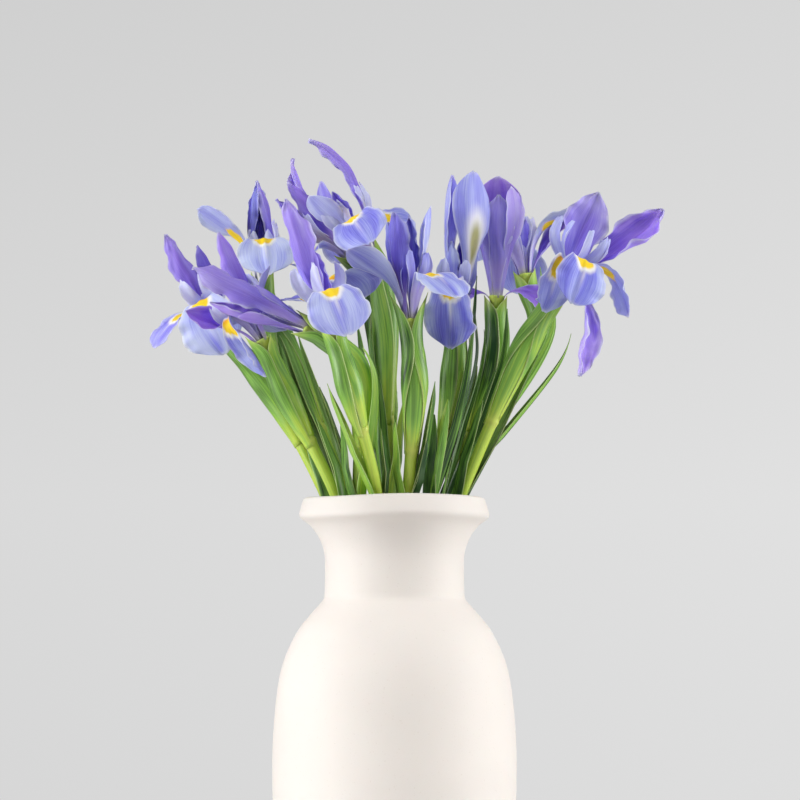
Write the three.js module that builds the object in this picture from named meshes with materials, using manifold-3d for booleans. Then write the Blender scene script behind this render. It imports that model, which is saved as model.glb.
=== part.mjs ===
// Irises in a vase: a dozen cut Dutch irises standing in water in a tall matt ceramic vase.
// Millimetres, +Z up, the viewer's side is -Y. The origin is the middle of the vase's flat base.
// Each iris is two solids: its green stem with spathe and leaf, and the bloom that stands on top of it.

import * as THREE from "three";
import { mergeVertices } from "three/addons/utils/BufferGeometryUtils.js";
import Module from "manifold-3d";

const wasm = await Module();
wasm.setup();

// Driving dimensions of the vase
const VASE_HEIGHT = 290;
const VASE_WALL = 5;
const VASE_FLOOR = 8;
const BASE_RADIUS = 52;
const BELLY_RADIUS = 73;
const NECK_RADIUS = 41.7;
const RIM_RADIUS = 57;
const MOUTH_RADIUS = 49;
const VASE_SIDES = 36;
const WATER_LEVEL = 190;
const GAP = 0.4;

// Driving dimensions of an iris
const STEM_RADIUS = 3.5;
const STEM_SIDES = 6;
const TUBE_LENGTH = 8;
const PETAL_THICKNESS = 0.8;
const LEAF_THICKNESS = 1;

const UP = new THREE.Vector3(0, 0, 1);
const DEPTH = new THREE.Vector3(0, 1, 0);
const radians = THREE.MathUtils.degToRad;

// Forms of the blades. Each table runs from the root (0) to the tip (1). closed and open are the angle
// between the blade and the bloom's axis, in degrees, when the petal is shut and when it is fully out.
// width is half the blade's breadth in mm, and curl is how far the edges turn up towards the inner face,
// in degrees. shut is how much more a closed petal curls and the share of its width that it keeps. rows
// are where the solid has its cross-sections.
const FALL = {
  length: 66,
  closed: [[0, 6], [0.3, 12], [0.6, 6], [1, -8]],
  open: [[0, 12], [0.2, 30], [0.36, 56], [0.47, 92], [0.57, 130], [0.72, 154], [1, 168]],
  width: [[0, 1.8], [0.2, 4], [0.38, 6.4], [0.5, 10.4], [0.65, 16.2], [0.79, 17.4], [0.92, 12.5], [1, 4]],
  curl: [[0, 30], [0.4, 24], [0.54, 4], [0.75, -14], [1, -22]],
  shut: { curl: 80, width: 0.68 },
  rows: [0, 0.28, 0.47, 0.65, 0.88, 1],
  columns: 2,
};
const STANDARD = {
  length: 66,
  closed: [[0, 6], [0.35, 12], [0.7, 4], [1, -8]],
  open: [[0, 14], [0.3, 36], [0.65, 38], [1, 24]],
  width: [[0, 1.6], [0.25, 3.8], [0.5, 9], [0.7, 11.6], [0.88, 7.6], [1, 1.6]],
  curl: [[0, 10], [0.3, 36], [0.6, 66], [0.85, 56], [1, 34]],
  shut: { curl: 30, width: 0.84 },
  rows: [0, 0.36, 0.7, 0.9, 1],
  columns: 2,
};
const STYLE_ARM = {
  length: 47,
  closed: [[0, 2], [0.5, 5], [1, -8]],
  open: [[0, 2], [0.28, 17], [0.5, 46], [0.64, 30], [1, -20]],
  width: [[0, 1.2], [0.3, 3.6], [0.55, 7.4], [0.78, 10.4], [1, 10.8]],
  curl: [[0, -20], [0.5, -36], [0.78, -26], [1, -4]],
  notch: 0.34,
  rows: [0, 0.4, 0.72, 1],
  columns: 2,
};
const VALVE = {
  width: [[0, 5.4], [0.4, 6], [0.75, 4], [1, 0.8]],
  curl: [[0, 60], [0.6, 46], [1, 30]],
  rows: [0, 0.5, 1],
  columns: 2,
};
const LEAF = {
  width: [[0, 5], [0.2, 6.8], [0.6, 6], [0.85, 3.4], [1, 0.7]],
  curl: [[0, 80], [0.4, 58], [1, 36]],
  rows: [0, 0.3, 0.7, 1],
  columns: 2,
};

// Half breadth and half depth of a stem, by the distance in mm below the bloom: the spathe swells near
// the top and narrows to the bare stem at a joint, SWELLING below the bloom where the iris has no other
const SWELLING = 66;
const STEM_BREADTH = [[0, 4.8], [12, 7], [30, 7.2], [48, 5.4], [SWELLING, 3.8], [84, 3.5], [200, 3.5]];
const STEM_DEPTH = [[0, 4.2], [12, 5.2], [30, 5.2], [48, 4.4], [SWELLING, 3.7], [84, 3.5], [200, 3.5]];

// Where each iris stands and how its petals lie. top is the end of its stem, where the bloom starts, and
// rim is where the stem passes the vase's mouth. The bloom leans from the vertical by lean degrees in the
// compass direction toward (0 right, 90 back, 180 left, 270 front). A fall or standard is a row of turn
// (degrees about the bloom's axis, 0 on the viewer's side), opening (0 shut, 1 out), size, hook (extra
// degrees of lean at the tip), twist (degrees about its own midrib at the tip) and roll (how much more it is
// rolled up lengthwise). styles are the turn and opening of the style arms, where they aren't the falls' own.
// stalk is how many degrees the stem's end leans, where that isn't the bloom's own lean, and joint is how far
// under its end the swelling starts. Each leaf is its length, its compass direction, how far its tip flares
// in mm and its share of a full leaf's breadth. valves are the lengths of the spathe's two tips.
const IRISES = [
  {
    top: [-98, 14, 383], lean: 28, toward: 182, stalk: 40, rim: [-41, 4], joint: 72,
    leaves: [[112, 60, 5], [52, 300, 2]],
    falls: [[-80, 0.64, 0.86, 24, -28], [-12, 1.14, 1.12], [160, 0.8, 0.7]],
    standards: [[-24, 0.02, 1.08, 0, 50, 0.3], [62, 0, 0.86], [-150, 0.12, 0.95, 14]],
  },
  {
    top: [-76, -18, 376], lean: 30, toward: 184, stalk: 24, rim: [-35, -17], joint: 60,
    leaves: [[116, 20, 4]], valves: [8, 14],
    falls: [[-20, 2, 1.2, -190, 60, 1.6], [80, 0.3, 0.7], [150, 0.9, 0.8]],
    standards: [[-50, 1.42, 0.78, 0, -110, -0.4], [50, 0.05, 1.06], [160, 0.2, 0.8]],
  },
  {
    top: [-45, -56, 384], lean: 65, toward: 182, stalk: 48, rim: [-21, -30], joint: 78,
    leaves: [[100, 330, 4], [66, 190, 4]],
    falls: [[-70, 0.08, 0.62], [75, 0.05, 0.6], [180, 0.05, 0.6]],
    standards: [[12, 0.06, 1.16, 0, 0, 0.3], [120, 0, 0.72], [-110, 0.05, 0.9]],
  },
  {
    top: [-80, 38, 416], lean: 4, toward: 190, stalk: 22, rim: [-29, 18], joint: 92,
    leaves: [[124, 40, 6], [76, 220, 4]], styles: [[6, 0.25], [-88, 0.3], [84, 0.6]],
    falls: [[6, 0.9, 1.04], [-88, 0.32, 0.94, 0, 30, -0.3], [84, 0.7, 0.44]],
    standards: [[180, -0.1, 0.98, -8], [98, -0.2, 0.98, -14, 0, -0.2], [-98, -0.25, 0.96, -14]],
  },
  {
    top: [-23, 56, 436], lean: 42, toward: 180, stalk: 22, rim: [-9, 31], joint: 84,
    leaves: [[130, 200, 6], [82, 340, 3]],
    falls: [[-50, 0.7, 0.64], [172, 0.9, 0.85], [60, 0.15, 0.75]],
    standards: [[4, 0.1, 0.9, 0, 0, 0.2], [130, -0.85, 1.15, 90, 0, 1.2], [-125, 0.1, 0.9, 0, 0, 0.3]],
  },
  {
    top: [-33, -78, 375], lean: 16, toward: 185, rim: [-10, -38], joint: 54,
    leaves: [[96, 180, 4]], styles: [[-26, 1], [140, 0.8], [-150, 0.5]],
    falls: [[10, 1, 1.06], [160, 0.72, 1.3], [-150, 0.5, 0.8]],
    standards: [[-24, 0.04, 1.26, 0, 0, 0.3], [175, 0, 0.8], [-130, 0.02, 0.92, 0, 0, 0.3]],
  },
  {
    top: [-10, 18, 432], lean: 33, toward: 195, stalk: 8, rim: [-4, 10], joint: 96,
    leaves: [[130, 80, 5], [92, 240, 5], [70, 330, 3]], styles: [[-32, 0.8], [-62, 0.3], [70, 0.95]],
    falls: [[0, 0.8, 1.05], [-50, 0.12, 0.82, 0, 0, -0.4], [95, 0.8, 0.62, 0, 60]],
    standards: [[80, 0.36, 1.26, -50, 0, 3], [-90, 0.1, 0.75], [180, 0, 0.7]],
  },
  {
    top: [10, -56, 384], lean: 4, toward: 180, rim: [8, -34], joint: 70,
    leaves: [[84, 10, 4], [60, 190, 3], [104, 60, 2, 0.4]], valves: [23, 25],
    falls: [[34, 0.8, 1], [-66, 0.32, 0.88, 10, 25, -0.2], [96, 0.06, 1.05]],
    standards: [[-42, -0.12, 0.98, 0, 0, -0.3], [-118, 0, 0.92], [160, 0, 0.98]],
  },
  {
    top: [37, -28, 388], lean: 4, toward: 0, rim: [22, -15], joint: 62,
    leaves: [[118, 320, 5], [64, 230, 4], [148, 350, 2, 0.36]],
    falls: [[-10, 2, 1.22, -170, 0, 0.8], [42, 0, 1.37, -12], [-105, 0.02, 1.33, -12]],
    standards: [[180, 0, 0.75], [120, 0, 0.7], [-50, 0, 0.7]],
  },
  {
    top: [61, -2, 403], lean: 1, toward: 0, rim: [33, 4], joint: 74,
    leaves: [[132, 300, 5], [96, 150, 3], [120, 220, 2, 0.36]], valves: [8, 8],
    falls: [[-70, 0.12, 1.06, -30, 0, -0.6], [68, 0.1, 1.04, -30, 0, -0.6], [180, 0, 1.15, -16, 0, -0.3]],
    standards: [[2, 0, 0.94, 0, 0, -1.2], [84, 3.3, 0.54, 0, 120, -1.5], [-84, 3.2, 0.36, 0, -120, -1.5]],
  },
  {
    top: [94, -25, 405], lean: 25, toward: 0, stalk: 31, rim: [40, -11], joint: 80,
    leaves: [[112, 30, 3], [74, 200, 3]], valves: [10, 8], styles: [[-56, 1], [40, 0.9], [100, 0.9]],
    falls: [[18, 1.02, 0.98, 0, 0, 0.15], [-10, 2.1, 1, -180, -60, 0.8], [80, 0.86, 0.96, 0, -25]],
    standards: [[-172, 0.16, 1.04, 0, 0, -2.2], [108, 0.72, 1.24, 0, 60], [48, 4.7, 1.06, 10, 0, 0.8]],
  },
  {
    top: [82, 54, 422], lean: 12, toward: 140, stalk: 20, rim: [30, 24], joint: 92,
    leaves: [[176, 300, 10], [140, 20, 12]], valves: [11, 11],
    falls: [[76, 0.54, 1.08, 30], [-30, 0.85, 1], [180, 0.95, 0.95]],
    standards: [[96, 1.2, 0.66, 0, 60], [-110, 0.1, 0.6], [140, 0.1, 0.6]],
  },
];

// Value of a table at s, on a smooth curve through its points
function along(table, s) {
  const last = table.length - 1;
  let i = 0;
  while (i < last - 1 && s > table[i + 1][0]) i += 1;
  const slope = (a, b) => (table[b][1] - table[a][1]) / (table[b][0] - table[a][0]);
  const start = slope(Math.max(i - 1, 0), i + 1);
  const end = slope(i, Math.min(i + 2, last));
  const span = table[i + 1][0] - table[i][0];
  const t = THREE.MathUtils.clamp((s - table[i][0]) / span, 0, 1);
  const [p, q] = [table[i][1], table[i + 1][1]];
  return (
    (2 * t ** 3 - 3 * t ** 2 + 1) * p + (t ** 3 - 2 * t ** 2 + t) * span * start +
    (-2 * t ** 3 + 3 * t ** 2) * q + (t ** 3 - t ** 2) * span * end
  );
}

function mix(a, b, t) {
  return a + (b - a) * t;
}

function compass(degrees) {
  return new THREE.Vector3(Math.cos(radians(degrees)), Math.sin(radians(degrees)), 0);
}

// A closed body skinned over rings of points. Every ring has the same even number of points, the first
// half on one face and the second half on the other, and both faces are split into triangles alike.
function skin(rings) {
  const count = rings[0].length;
  const half = count / 2;
  const positions = rings.flat().flatMap((p) => p.toArray());
  const index = [];
  for (let i = 0; i + 1 < rings.length; i += 1) {
    for (let k = 0; k < count; k += 1) {
      const next = (k + 1) % count;
      const [a, b, c, d] = [i * count + k, i * count + next, (i + 1) * count + next, (i + 1) * count + k];
      const column = k < half ? k : count - 2 - k;
      const leftSide = column < (half - 1) / 2;
      if (leftSide === k < half) index.push(a, b, c, a, c, d);
      else index.push(a, b, d, b, c, d);
    }
  }
  const cap = (first, flip) => {
    for (let k = 0; k + 1 < half; k += 1) {
      const [a, b, c, d] = [first + k, first + k + 1, first + count - 2 - k, first + count - 1 - k];
      if (flip) index.push(a, c, b, a, d, c);
      else index.push(a, b, c, a, c, d);
    }
  };
  cap(0, true);
  cap((rings.length - 1) * count, false);
  const geometry = new THREE.BufferGeometry();
  geometry.setAttribute("position", new THREE.Float32BufferAttribute(positions, 3));
  geometry.setIndex(index);
  return geometry;
}

// three.js geometry to a manifold-3d solid, facing out, and back
function solid(geometry) {
  const bare = geometry.clone();
  bare.deleteAttribute("normal");
  bare.deleteAttribute("uv");
  const merged = mergeVertices(bare, 1e-4);
  const triVerts = new Uint32Array(merged.index.array);
  const made = () =>
    new wasm.Manifold(new wasm.Mesh({ numProp: 3, vertProperties: merged.attributes.position.array, triVerts }));
  const first = made();
  if (first.volume() > 0) return first;
  for (let i = 0; i < triVerts.length; i += 3) {
    [triVerts[i + 1], triVerts[i + 2]] = [triVerts[i + 2], triVerts[i + 1]];
  }
  return made();
}

function geometryOf(manifold) {
  const mesh = manifold.getMesh();
  const geometry = new THREE.BufferGeometry();
  geometry.setAttribute("position", new THREE.Float32BufferAttribute(mesh.vertProperties, 3));
  geometry.setIndex(new THREE.BufferAttribute(mesh.triVerts, 1));
  geometry.computeVertexNormals();
  return geometry;
}

// One body from several: a pocket shut in between crossing petals is filled
function union(manifolds) {
  const whole = manifolds.reduce((sum, piece) => sum.add(piece));
  return whole.decompose().reduce((best, body) => (body.volume() > best.volume() ? body : best));
}

// A thin blade: its spine gives the midrib's point, direction and inner face at s. shut says how nearly
// closed the petal is, which cups it.
function blade(spine, form, thickness, size = 1, shut = 0) {
  const rings = form.rows.map((row) => {
    const [inner, outer] = [[], []];
    for (let j = 0; j <= form.columns; j += 1) {
      const v = (2 * j) / form.columns - 1;
      const s = row * (1 - (form.notch ?? 0) * (1 - Math.abs(v)));
      const { point, forward, inward } = spine(s);
      const side = forward.clone().cross(inward);
      const width = size * mix(1, form.shut?.width ?? 1, shut) * along(form.width, s);
      const curl = radians(along(form.curl, s) + shut * (form.shut?.curl ?? 0) * s) || 1e-6;
      const across = (width * Math.sin(curl * v)) / curl;
      const rise = (width * (1 - Math.cos(curl * v))) / curl;
      const surface = point.clone().addScaledVector(side, across).addScaledVector(inward, rise);
      const normal = inward.clone().multiplyScalar(Math.cos(curl * v)).addScaledVector(side, -Math.sin(curl * v));
      inner.push(surface.clone().addScaledVector(normal, thickness / 2));
      outer.unshift(surface.clone().addScaledVector(normal, -thickness / 2));
    }
    return [...inner, ...outer];
  });
  return solid(skin(rings));
}

// The midrib of a petal: it starts at root and bends away from the axis as its form and opening say
function petalSpine(form, [, opening, size = 1, hook = 0, twist = 0], root, axis, out) {
  const steps = 48;
  const frames = [];
  const point = root.clone();
  const heading = (s) => {
    const lean = radians(mix(along(form.closed, s), along(form.open, s), opening) + hook * s * s);
    const forward = axis.clone().multiplyScalar(Math.cos(lean)).addScaledVector(out, Math.sin(lean));
    const inward = axis.clone().multiplyScalar(Math.sin(lean)).addScaledVector(out, -Math.cos(lean));
    return { forward, inward: inward.applyAxisAngle(forward, radians(twist * s)) };
  };
  for (let i = 0; i <= steps; i += 1) {
    frames.push({ point: point.clone(), ...heading(i / steps) });
    point.addScaledVector(heading((i + 0.5) / steps).forward, (size * form.length) / steps);
  }
  return (s) => {
    const at = Math.min(s * steps, steps - 1e-9);
    const i = Math.floor(at);
    const blend = (key) => frames[i][key].clone().lerp(frames[i + 1][key], at - i);
    return { point: blend("point"), forward: blend("forward").normalize(), inward: blend("inward").normalize() };
  };
}

// The direction a bloom faces, and the direction on the viewer's side from which its petals are turned
function aim(iris) {
  const flat = compass(iris.toward);
  const lean = radians(iris.lean);
  const axis = UP.clone().multiplyScalar(Math.cos(lean)).addScaledVector(flat, Math.sin(lean));
  const viewer = DEPTH.clone().negate();
  return { axis, viewer: viewer.addScaledVector(axis, -viewer.dot(axis)).normalize() };
}

// The stem's middle line from the vase's floor, through the neck and mouth, up to the bloom
function stemCurve(iris) {
  const { axis } = aim({ ...iris, lean: iris.stalk ?? iris.lean });
  const top = new THREE.Vector3(...iris.top);
  const [x, y] = iris.rim;
  const passing = (share, z) => new THREE.Vector3(x * share, y * share, z);
  return new THREE.CatmullRomCurve3([
    passing(0.66, VASE_FLOOR + GAP),
    passing(0.58, VASE_HEIGHT * 0.45),
    passing(0.62, VASE_HEIGHT - 75),
    passing(0.75, VASE_HEIGHT - 30),
    passing(1, VASE_HEIGHT),
    top.clone().addScaledVector(axis, -30),
    top,
  ]);
}

// A point with its direction and two cross directions, and the same for a distance along a curve
function station(point, forward) {
  const side = forward.clone().cross(DEPTH).normalize();
  return { point, forward, side, back: side.clone().cross(forward).normalize() };
}

function stationOn(curve, distance) {
  const t = THREE.MathUtils.clamp(distance / curve.getLength(), 0, 1);
  return station(curve.getPointAt(t), curve.getTangentAt(t).normalize());
}

// Distances up the stem of its cross-sections in the vase, where the holes in the water have theirs too
const WET_STATIONS = [0, WATER_LEVEL];

function stemRing({ point, side, back }, breadth, depth) {
  return Array.from({ length: STEM_SIDES }, (_, k) => {
    const angle = (2 * Math.PI * (k + 0.5)) / STEM_SIDES;
    return point.clone()
      .addScaledVector(side, breadth * Math.cos(angle))
      .addScaledVector(back, depth * Math.sin(angle));
  });
}

function stemSolid(iris) {
  const curve = stemCurve(iris);
  const length = curve.getLength();
  const top = station(new THREE.Vector3(...iris.top), aim(iris).axis);
  const distances = [...WET_STATIONS, 236, ...[150, 108, iris.joint, 0.5 * iris.joint, 14].map((below) => length - below)];
  const rings = distances.map((distance) => {
    const below = ((length - distance) * SWELLING) / iris.joint;
    return stemRing(stationOn(curve, distance), along(STEM_BREADTH, below), along(STEM_DEPTH, below));
  });
  rings.push(stemRing(top, along(STEM_BREADTH, 0), along(STEM_DEPTH, 0)));
  const pieces = [solid(skin(rings))];

  // The two valves of the spathe stand up on either side of the bloom's tube
  const reaches = iris.valves ?? [17, 14];
  for (const [sign, reach] of [[-1, reaches[0]], [1, reaches[1]]]) {
    const spine = (s) => {
      const away = sign * (5.4 + 6.4 * s * s);
      const point = top.point.clone()
        .addScaledVector(top.forward, mix(-8, reach, s))
        .addScaledVector(top.side, away);
      const inward = top.side.clone().multiplyScalar(-sign);
      const forward = top.forward.clone().addScaledVector(top.side, sign * 0.4 * s).normalize();
      return { point, forward, inward: inward.addScaledVector(top.forward, 0.4 * s).normalize() };
    };
    pieces.push(blade(spine, VALVE, PETAL_THICKNESS));
  }

  // A leaf sheathes the stem at its root, runs up beside it and flares away at its tip
  const start = VASE_HEIGHT - 14 - VASE_FLOOR;
  for (const [reach, toward, flare, breadth = 1] of iris.leaves) {
    const spine = (s) => {
      const distance = start + s * reach;
      const { point, forward } = stationOn(curve, distance);
      point.addScaledVector(forward, Math.max(0, distance - length));
      const away = compass(toward);
      away.addScaledVector(forward, -away.dot(forward)).normalize();
      point.addScaledVector(away, mix(2, 8, Math.min(1, s * 2)) + flare * s * s);
      return { point, forward, inward: away.negate() };
    };
    pieces.push(blade(spine, LEAF, LEAF_THICKNESS, breadth));
  }
  return union(pieces);
}

function bloomSolid(iris) {
  const { axis, viewer } = aim(iris);
  const side = axis.clone().cross(viewer);
  const base = new THREE.Vector3(...iris.top).addScaledVector(axis, GAP);
  const profile = [[0, 0], [2.4, 0], [5.4, TUBE_LENGTH], [0, TUBE_LENGTH]];
  const tube = new THREE.LatheGeometry(profile.map(([r, h]) => new THREE.Vector2(r, h)), 6);
  tube.applyMatrix4(new THREE.Matrix4().makeBasis(side, axis, viewer).setPosition(base));
  const pieces = [solid(tube)];
  const petal = (form, row, height, radius) => {
    const turn = radians(row[0]);
    const out = viewer.clone().multiplyScalar(Math.cos(turn)).addScaledVector(side, Math.sin(turn));
    const root = base.clone().addScaledVector(axis, height).addScaledVector(out, radius);
    const shut = Math.max(0, 1 - row[1]) + (row[5] ?? 0);
    pieces.push(blade(petalSpine(form, row, root, axis, out), form, PETAL_THICKNESS, row[2], shut));
  };
  for (const fall of iris.falls) petal(FALL, fall, TUBE_LENGTH - 2, 3.4);
  for (const [turn, opening] of iris.styles ?? iris.falls) {
    petal(STYLE_ARM, [turn, opening, mix(0.6, 1, Math.min(1, opening))], TUBE_LENGTH - 1, 1.2);
  }
  for (const standard of iris.standards) petal(STANDARD, standard, TUBE_LENGTH - 2, 4.2);
  return union(pieces);
}

// The vase's outside from its foot to its lip, and its inside from the lip down, as radius and height
const OUTSIDE = [
  [BASE_RADIUS, 0], [BASE_RADIUS + 2, 1.5], [62.5, 36], [70.5, 82], [BELLY_RADIUS, 124],
  [71.6, VASE_HEIGHT - 130], [67.4, VASE_HEIGHT - 102], [58.4, VASE_HEIGHT - 81], [49, VASE_HEIGHT - 69],
  [44.2, VASE_HEIGHT - 63.6], [NECK_RADIUS, VASE_HEIGHT - 59.5], [NECK_RADIUS, VASE_HEIGHT - 33],
  [44.4, VASE_HEIGHT - 21.5], [RIM_RADIUS - 0.6, VASE_HEIGHT - 10], [RIM_RADIUS, VASE_HEIGHT - 8],
  [RIM_RADIUS - 3, VASE_HEIGHT],
];
const INSIDE = [
  [MOUTH_RADIUS, VASE_HEIGHT], [NECK_RADIUS - VASE_WALL, VASE_HEIGHT - 29],
  [NECK_RADIUS - VASE_WALL, VASE_HEIGHT - 58], [54, VASE_HEIGHT - 82], [63, VASE_HEIGHT - 106],
  [BELLY_RADIUS - VASE_WALL - 0.8, 140], [62, 60], [46, VASE_FLOOR],
];

function lathe(points, sides) {
  const geometry = new THREE.LatheGeometry(points.map(([r, h]) => new THREE.Vector2(r, h)), sides);
  return geometry.rotateX(Math.PI / 2);
}

function vaseSolid() {
  return solid(lathe([[0, 0], ...OUTSIDE, ...INSIDE, [0, VASE_FLOOR]], VASE_SIDES));
}

// The water stands against the vase's inside, with a plain hole round each stem
function waterSolid(curves) {
  const wet = INSIDE.filter(([, h]) => h < WATER_LEVEL);
  const profile = [[0, VASE_FLOOR + GAP], ...wet.reverse().map(([r, h]) => [r - 2 * GAP, h + GAP])];
  const widest = profile[profile.length - 1][0];
  const body = solid(lathe([...profile, [widest - 3, WATER_LEVEL], [0, WATER_LEVEL]], 24));
  return curves.reduce((water, curve) => {
    const radius = STEM_RADIUS + GAP;
    const rings = WET_STATIONS.map((distance) => {
      const at = stationOn(curve, distance);
      if (distance === 0) at.point.z -= 2;
      return stemRing(at, radius, radius);
    });
    return water.subtract(solid(skin(rings)));
  }, body);
}

const MATERIALS = {
  vase: new THREE.MeshStandardMaterial({ color: 0xf4eee8, roughness: 0.55, metalness: 0 }),
  water: new THREE.MeshStandardMaterial({ color: 0xdfe9ea, roughness: 0.05, metalness: 0 }),
  stem: new THREE.MeshStandardMaterial({ color: 0x5f8f3a, roughness: 0.5, metalness: 0 }),
  bloom: new THREE.MeshStandardMaterial({ color: 0x8f8bdc, roughness: 0.6, metalness: 0 }),
};

const irisesInVase = new THREE.Group();

function add(name, manifold, material) {
  const mesh = new THREE.Mesh(geometryOf(manifold), MATERIALS[material]);
  mesh.name = name;
  irisesInVase.add(mesh);
}

add("vase", vaseSolid(), "vase");
IRISES.forEach((iris, i) => {
  const number = String(i + 1).padStart(2, "0");
  add(`stem_${number}`, stemSolid(iris), "stem");
  add(`bloom_${number}`, bloomSolid(iris), "bloom");
});
add("water", waterSolid(IRISES.map(stemCurve)), "water");

export default irisesInVase;
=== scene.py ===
"""Dresses the irises in a vase: fine petals, stems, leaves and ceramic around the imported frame, in metres."""

import math
import random
from collections import namedtuple

import bpy
import numpy as np
from bpy.props import FloatProperty, FloatVectorProperty, PointerProperty
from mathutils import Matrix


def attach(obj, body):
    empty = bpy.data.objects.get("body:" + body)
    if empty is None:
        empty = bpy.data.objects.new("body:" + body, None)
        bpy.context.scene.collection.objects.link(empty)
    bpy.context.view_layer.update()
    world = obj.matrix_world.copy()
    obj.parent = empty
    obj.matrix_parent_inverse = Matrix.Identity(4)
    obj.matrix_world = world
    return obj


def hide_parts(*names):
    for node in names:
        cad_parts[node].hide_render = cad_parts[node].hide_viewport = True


bl_info = {
    "name": "Irises in a vase",
    "version": (1, 0, 0),
    "blender": (4, 5, 0),
    "location": "3D View > Sidebar > Irises",
    "description": "Cut Dutch irises standing in a tall off-white ceramic vase",
    "category": "Object",
}

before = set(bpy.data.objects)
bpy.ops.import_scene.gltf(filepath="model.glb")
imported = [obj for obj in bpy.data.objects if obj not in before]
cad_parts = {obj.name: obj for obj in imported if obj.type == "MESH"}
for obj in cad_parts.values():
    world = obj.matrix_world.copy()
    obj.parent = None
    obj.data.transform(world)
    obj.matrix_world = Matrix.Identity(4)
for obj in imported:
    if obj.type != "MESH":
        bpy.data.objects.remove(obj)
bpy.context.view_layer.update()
MM = 0.001
UP = np.array([0.0, 0.0, 1.0])
DEPTH = np.array([0.0, 1.0, 0.0])

# The vase and the irises follow their solids, so their sizes are in mm and degrees
VASE_HEIGHT = 290
VASE_FLOOR = 8
WATER_LEVEL = 190
GAP = 0.4
TUBE_LENGTH = 8
VALVE_THICKNESS = 0.6
LEAF_THICKNESS = 0.7
# Distance along a stem to where its leaves come free of it, in the neck of the vase
LEAF_START = VASE_HEIGHT - VASE_FLOOR - 14

# Radius of the vase by height, outside and inside
OUTSIDE = [
    [1.5, 54], [36, 62.5], [82, 70.5], [124, 73], [160, 71.6], [188, 67.4], [209, 58.4], [221, 49],
    [226, 44.4], [228.6, 42.4], [234, 41.8], [252, 41.7], [258, 42.5], [264, 44.6], [270, 48.2],
    [273.6, 51.4], [276.8, 55.6], [278.4, 56.9], [281, 57], [289, 54.6],
]
INSIDE = [[8, 46], [60, 62], [140, 67.2], [184, 63], [208, 54], [232, 36.7], [261, 36.7], [289, 48.6]]
# Radius and height along the round edges of its foot and its lip
FOOT = [(51.2, 0), (52.6, 0.25), (53.4, 0.8)]
LIP = [(53.9, 289.6), (52.9, 289.95), (51.6, VASE_HEIGHT), (50.2, 289.9), (49.2, 289.6)]

# The blades. Tables run from root (0) to tip (1). closed and open are the angle to the bloom's axis, width is
# half the breadth and curl is how far the edges turn up towards the inner face. root is how far up the tube
# and out of its middle a petal starts, and shut is how much a closed one curls up and narrows.
FALL = {
    "length": 66,
    "root": (TUBE_LENGTH - 2, 3.4),
    "closed": [[0, 6], [0.3, 12], [0.6, 6], [1, -8]],
    "open": [[0, 12], [0.2, 30], [0.36, 56], [0.47, 92], [0.57, 130], [0.72, 154], [1, 168]],
    "width": [[0, 1.8], [0.2, 4], [0.38, 6.4], [0.5, 10.4], [0.65, 16.2], [0.79, 17.4], [0.92, 13.5], [1, 7]],
    "curl": [[0, 30], [0.4, 24], [0.54, 4], [0.75, -14], [1, -22]],
    "shut": (80, 0.68),
}
STANDARD = {
    "length": 66,
    "root": (TUBE_LENGTH - 2, 4.2),
    "closed": [[0, 6], [0.35, 12], [0.7, 4], [1, -8]],
    "open": [[0, 14], [0.3, 36], [0.65, 38], [1, 24]],
    "width": [[0, 1.6], [0.25, 3.8], [0.5, 9], [0.7, 11.6], [0.88, 7.6], [1, 0.6]],
    "curl": [[0, 10], [0.3, 36], [0.6, 66], [0.85, 56], [1, 34]],
    "shut": (30, 0.84),
}
STYLE_ARM = {
    "length": 47,
    "root": (TUBE_LENGTH - 1, 1.2),
    "closed": [[0, 2], [0.5, 5], [1, -8]],
    "open": [[0, 2], [0.28, 17], [0.5, 46], [0.64, 30], [1, -20]],
    "width": [[0, 1.2], [0.3, 3.6], [0.55, 7.4], [0.78, 10.4], [1, 10.8]],
    "curl": [[0, -20], [0.5, -36], [0.78, -26], [1, -4]],
    "shut": (0, 1),
}
# A leaf is about a tenth slimmer here than its solid
LEAF = {
    "width": [[0, 4.6], [0.2, 6], [0.6, 5.2], [0.85, 3], [1, 0.4]],
    "curl": [[0, 80], [0.4, 58], [1, 36]],
    "shut": (0, 1),
}
# The middle of the yellow signal along a fall, half its width, and how far it reaches towards root and tip
SIGNAL_PLACE = 0.505
SIGNAL_WIDTH = 5.6
SIGNAL_REACH = (6.5, 8)
# Half breadth and half depth of a stem by the distance below its end, for a spathe that ends at SWELLING
SWELLING = 66
STEM_BREADTH = [[0, 4.8], [12, 7], [30, 7.2], [48, 5.4], [SWELLING, 3.8], [84, 3.5], [200, 3.5]]
STEM_DEPTH = [[0, 4.2], [12, 5.2], [30, 5.2], [48, 4.4], [SWELLING, 3.7], [84, 3.5], [200, 3.5]]
# A stem inside the vase: how near it is to the middle, as a share of its distance in the mouth, by height
STEM_KNOTS = (
    (0.66, VASE_FLOOR + GAP), (0.58, VASE_HEIGHT * 0.45), (0.62, VASE_HEIGHT - 75), (0.75, VASE_HEIGHT - 30),
    (1, VASE_HEIGHT),
)
# How many radians of the stem a valve covers on each side of its middle
VALVE_HUG = 1.75

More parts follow.
